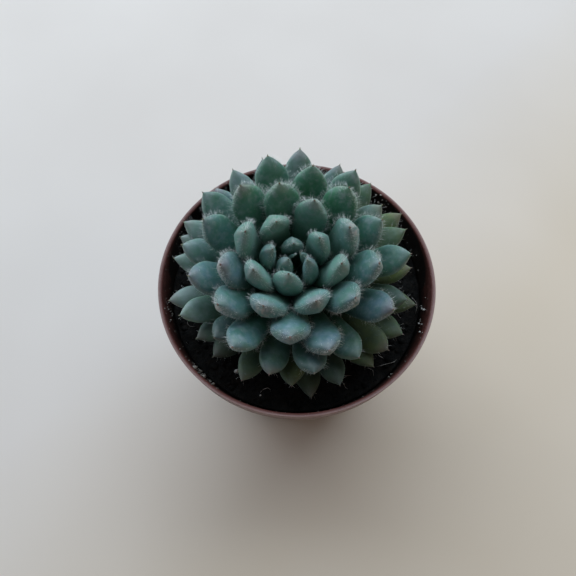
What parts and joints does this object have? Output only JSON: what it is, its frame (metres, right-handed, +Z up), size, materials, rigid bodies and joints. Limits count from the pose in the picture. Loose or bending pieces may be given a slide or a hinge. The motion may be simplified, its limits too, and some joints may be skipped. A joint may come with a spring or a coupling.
{
  "type": "potted echeveria",
  "caption": "Potted echeveria: one rosette of thick, keeled, bristly blue-green leaves on a short stem, in dark soil in a small thin-walled tapered plastic pot.",
  "frame": {"origin": "centre of the pot's foot, on the surface that it stands on", "axes": "+Z up along the pot's axis, -Y towards the side where the plant leans and the picture was taken, +X to the picture's right"},
  "size_m": [0.055, 0.055, 0.0664],
  "materials": {
    "pot_plastic": "satin",
    "soil_mix": "rough",
    "leaf_skin": "waxy"
  },
  "bodies": {
    "root": {"pot": "pot_plastic", "soil": "soil_mix", "rosette": "leaf_skin"}
  },
  "joints": []
}
